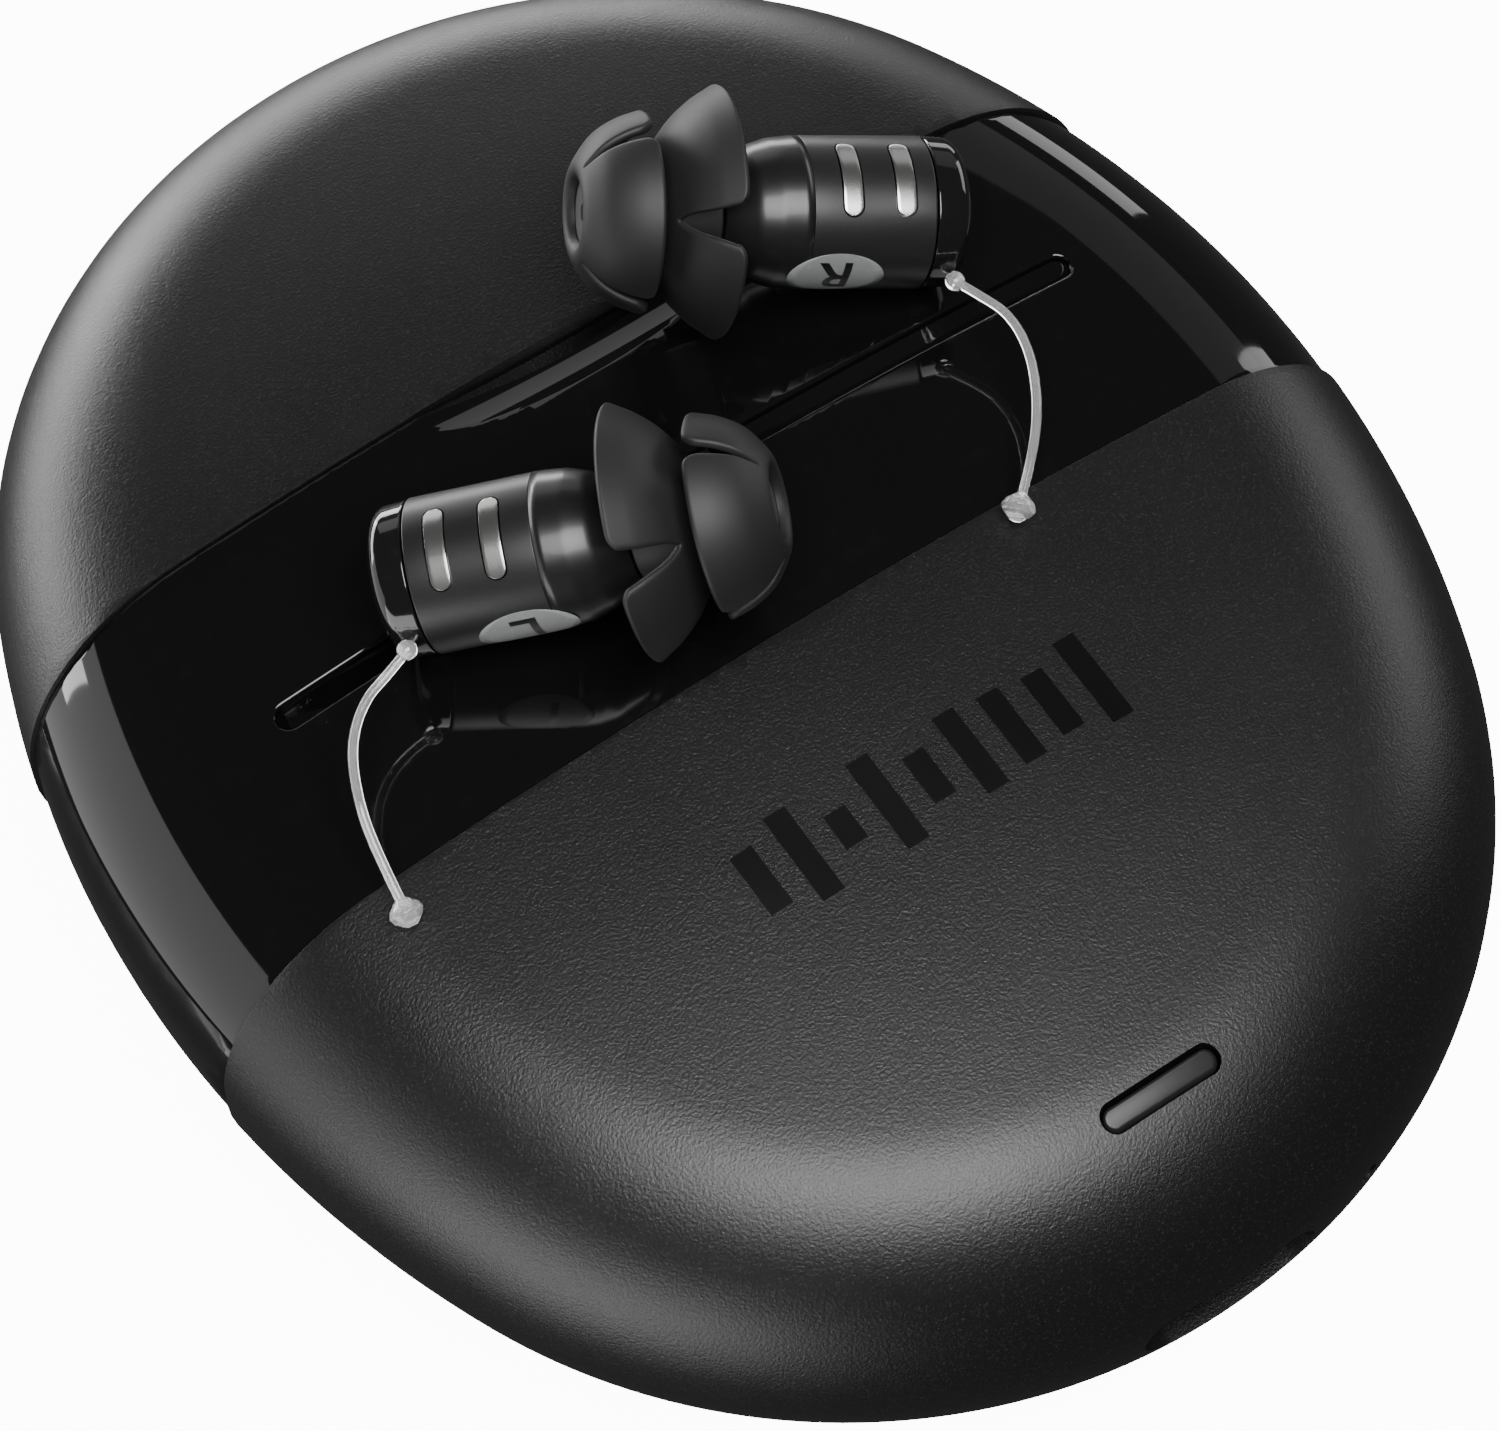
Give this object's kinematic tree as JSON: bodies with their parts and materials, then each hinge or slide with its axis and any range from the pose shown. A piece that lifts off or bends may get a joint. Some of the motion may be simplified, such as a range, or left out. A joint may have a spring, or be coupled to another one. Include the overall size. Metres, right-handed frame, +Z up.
{
  "type": "wireless earbuds charging case",
  "caption": "Pocket charging case with a sliding rear cover, and a pair of in-canal earbuds with pull threads resting on it.",
  "frame": {"origin": "middle of the footprint, on the surface that the case stands on", "axes": "+X along the glossy band, -Y towards the charging port, +Y the way the cover opens, +Z up"},
  "size_m": [0.0694, 0.0853, 0.0363],
  "materials": {
    "matte_shell": "fine moulded texture, charcoal black",
    "gloss_black": "polished piano black",
    "liner": "satin moulded liner",
    "light_pipe": "smoked clear window",
    "soft_rubber": "soft rubber or foam",
    "battery_foil": "silver pouch foil",
    "circuit_board": "solder-masked board",
    "flex_film": "amber polyimide film",
    "chip": "moulded package",
    "led": "clear lamp package",
    "steel": "stainless steel",
    "brass": "turned brass",
    "gold": "gold-plated spring pin",
    "magnet": "nickel-plated magnet",
    "bud_barrel": "satin black",
    "bud_gloss": "polished black",
    "contact_steel": "polished steel contact",
    "side_mark": "silver-grey printed plate",
    "silicone": "dark grey matt silicone",
    "wax_guard": "grey mesh cup",
    "clear_nylon": "clear nylon filament"
  },
  "bodies": {
    "case": {"base_frame": "gloss_black", "battery": "battery_foil", "battery_pad": "soft_rubber", "board_flex": "flex_film", "board_screws": "steel", "centre_deck": "gloss_black", "charge_controller": "chip", "closing_magnet": "magnet", "contact_boards": "circuit_board", "contact_flexes": "flex_film", "cradle": "liner", "foot_pads": "soft_rubber", "front_shell": "matte_shell", "hall_sensor": "chip", "housing_screws": "steel", "left_rod_bush": "brass", "light_pipe": "light_pipe", "main_board": "circuit_board", "pin_sockets": "brass", "reset_switch": "chip", "right_rod_bush": "brass", "status_leds": "led", "usb_board": "circuit_board", "usb_receptacle": "steel", "usb_tongue": "chip", "well_magnets": "magnet"},
    "cover": {"rear_cover": "matte_shell", "left_guide_rod": "steel", "right_guide_rod": "steel", "rod_clips": "steel", "catch_plate": "steel"},
    "reset_button": {"reset_plunger": "chip"},
    "left_bud": {"left_barrel": "bud_barrel", "left_nozzle": "bud_gloss", "left_cap": "bud_gloss", "left_contacts": "contact_steel", "left_side_mark": "side_mark", "left_eartip": "silicone", "left_wax_guard": "wax_guard", "left_pull_thread": "clear_nylon", "left_pull_bead": "clear_nylon", "left_cell": "battery_foil", "left_receiver": "steel", "left_circuit": "circuit_board"},
    "right_bud": {"right_barrel": "bud_barrel", "right_nozzle": "bud_gloss", "right_cap": "bud_gloss", "right_contacts": "contact_steel", "right_side_mark": "side_mark", "right_eartip": "silicone", "right_wax_guard": "wax_guard", "right_pull_thread": "clear_nylon", "right_pull_bead": "clear_nylon", "right_cell": "battery_foil", "right_receiver": "steel", "right_circuit": "circuit_board"},
    "left_pins": {"left_contact_pins": "gold"},
    "right_pins": {"right_contact_pins": "gold"}
  },
  "joints": [
    {"name": "cover_slide", "type": "slide", "parent": "case", "child": "cover", "axis": [0, 1, 0], "range_m": [0, 0.016]},
    {"name": "reset_press", "type": "slide", "parent": "case", "child": "reset_button", "axis": [0, 1, 0], "range_m": [0, 0.0003], "stiffness_N_per_m": 5},
    {"name": "left_bud_lift", "type": "slide", "parent": "case", "child": "left_bud", "axis": [0, 0, 1], "range_m": [0, 0.025]},
    {"name": "right_bud_lift", "type": "slide", "parent": "case", "child": "right_bud", "axis": [0, 0, 1], "range_m": [0, 0.025]},
    {"name": "left_pins_press", "type": "slide", "parent": "case", "child": "left_pins", "axis": [0, 0, -1], "range_m": [0, 0.0008], "stiffness_N_per_m": 5, "springref_m": -0.0002},
    {"name": "right_pins_press", "type": "slide", "parent": "case", "child": "right_pins", "axis": [0, 0, -1], "range_m": [0, 0.0008], "stiffness_N_per_m": 5, "springref_m": -0.0002}
  ]
}
